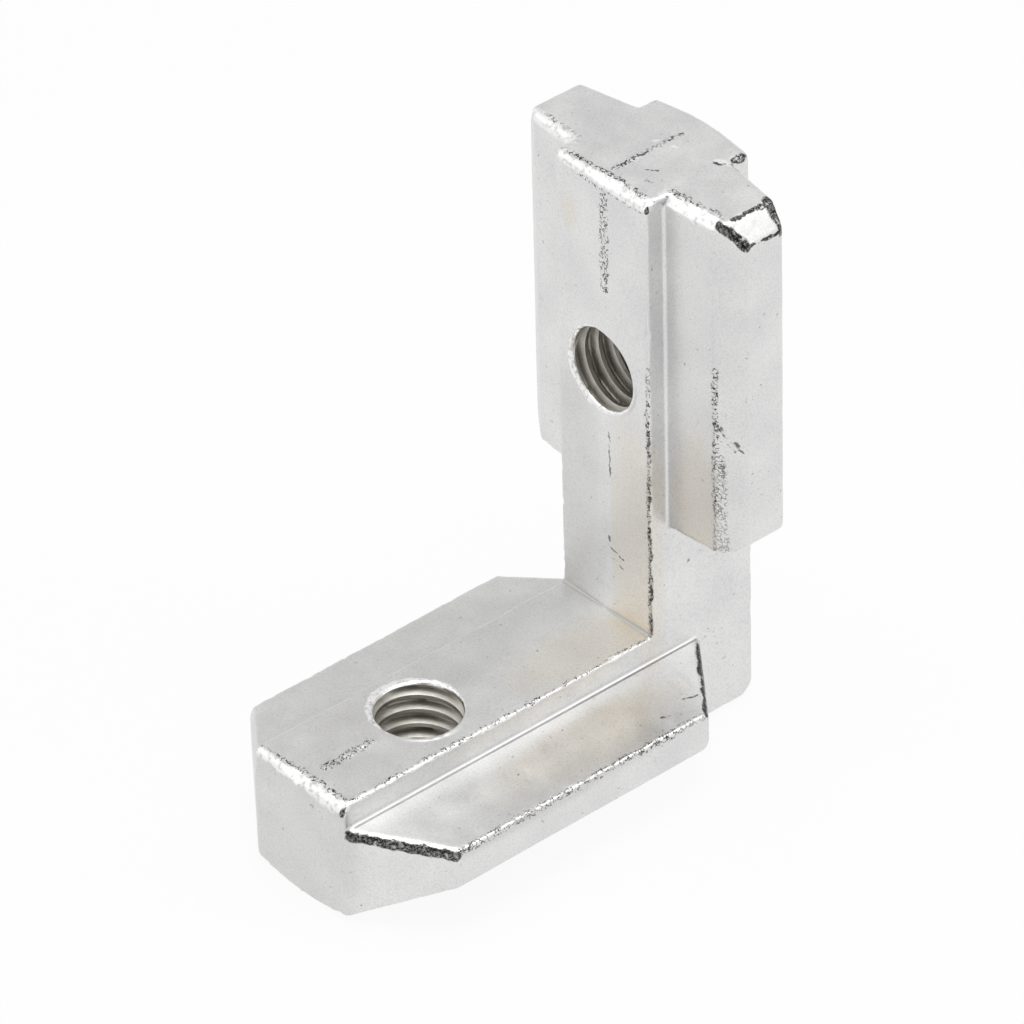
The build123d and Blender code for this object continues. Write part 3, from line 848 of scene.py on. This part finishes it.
class BRACKET_OT_stage(bpy.types.Operator):
    """Set up the paper floor, the soft lamps, the felt and paper cards, the white room and the camera"""
    bl_idname = "bracket.stage"
    bl_label = "Studio"

    def execute(self, context):
        scene = context.scene
        studio = scene.bracket_studio
        middle = Vector((0, 0, (LOW[2] + HIGH[2]) / 2 / MM))

        floor = plate("floor", (0, 0, LOW[2] / MM), (0, 0, 1), studio.floor_width, studio.floor_width,
                      pale_floor(scene.bracket_finish))
        floor.visible_shadow = False

        finishes = {name: glowing_card(name, colour) for name, colour in CARD_COLOURS.items()}
        for name, azimuth, elevation, distance, width, height in CARDS:
            centre = middle + distance * direction(radians(azimuth), radians(elevation))
            card = plate(name + " card", centre, middle, width, height, finishes[name])
            card.visible_camera = False
            card.visible_diffuse = False
            card.visible_shadow = False
            card.visible_transmission = False

        for name, azimuth, elevation, distance, side, brightness in LAMPS:
            light = bpy.data.lights.new(name, "AREA")
            light.size = side
            light.energy = brightness * pi * side ** 2
            lamp = bpy.data.objects.new(name, light)
            scene.collection.objects.link(lamp)
            lamp.location = middle + distance * direction(radians(azimuth), radians(elevation))
            lamp.rotation_euler = (lamp.location - middle).to_track_quat("Z", "Y").to_euler()
            lamp.visible_camera = False

        world = bpy.data.worlds.new("white room")
        scene.world = world
        world.use_nodes = True
        tree = world.node_tree
        tree.nodes.clear()
        strength = add(tree, "Mix", {"Factor": seen_rays(tree), "A": studio.world_light, "B": 1.0}, "Result")
        room = add(tree, "Background", {"Color": linear("#FFFFFF"), "Strength": strength})
        add(tree, "OutputWorld", {"Surface": room})

        self.camera(scene, studio, middle)
        scene.view_settings.view_transform = "Standard"
        return {"FINISHED"}

    def camera(self, scene, studio, middle):
        """Long lens from the upper left, turned a little about its own axis."""
        picture = 1024  # width in pixels
        data = bpy.data.cameras.new("camera")
        data.lens = studio.pixels_per_mm * MM * studio.distance * data.sensor_width / picture
        data.clip_start = 0.01
        camera = bpy.data.objects.new("camera", data)
        scene.collection.objects.link(camera)
        scene.camera = camera
        back = direction(studio.azimuth, studio.elevation)
        level = Matrix.Rotation(studio.azimuth, 4, "Z") @ Matrix.Rotation(pi / 2 - studio.elevation, 4, "X")
        turned = level @ Matrix.Rotation(-studio.roll, 4, "Z")
        aim = middle + turned.to_3x3() @ Vector(AIM_OFFSET) / MM
        camera.matrix_world = Matrix.Translation(aim + studio.distance * back) @ turned


class BRACKET_PT_sidebar(bpy.types.Panel):
    """Sizes and steps of the bracket"""
    bl_label = "Corner bracket"
    bl_idname = "BRACKET_PT_sidebar"
    bl_space_type = "VIEW_3D"
    bl_region_type = "UI"
    bl_category = "Bracket"

    def draw(self, context):
        for group, operator in GROUPS:
            box = self.layout.box()
            settings = getattr(context.scene, group)
            for name in settings.bl_rna.properties.keys():
                if name not in ("rna_type", "name"):
                    box.prop(settings, name)
            if operator:
                box.operator(operator.bl_idname)


GROUPS = (
    ("bracket_thread", None),
    ("bracket_finish", None),
    ("bracket_casting", BRACKET_OT_casting),
    ("bracket_studio", BRACKET_OT_stage),
)
SETTINGS = {
    "bracket_casting": CastingSizes,
    "bracket_thread": ThreadSizes,
    "bracket_finish": FinishColours,
    "bracket_studio": StudioSizes,
}
CLASSES = (*SETTINGS.values(), BRACKET_OT_casting, BRACKET_OT_stage, BRACKET_PT_sidebar)


def register():
    for item in CLASSES:
        bpy.utils.register_class(item)
    for name, group in SETTINGS.items():
        setattr(bpy.types.Scene, name, PointerProperty(type=group))


def unregister():
    for name in SETTINGS:
        delattr(bpy.types.Scene, name)
    for item in reversed(CLASSES):
        bpy.utils.unregister_class(item)


def main():
    register()
    bpy.ops.bracket.casting()
    bpy.ops.bracket.stage()


if __name__ == "__main__":
    main()
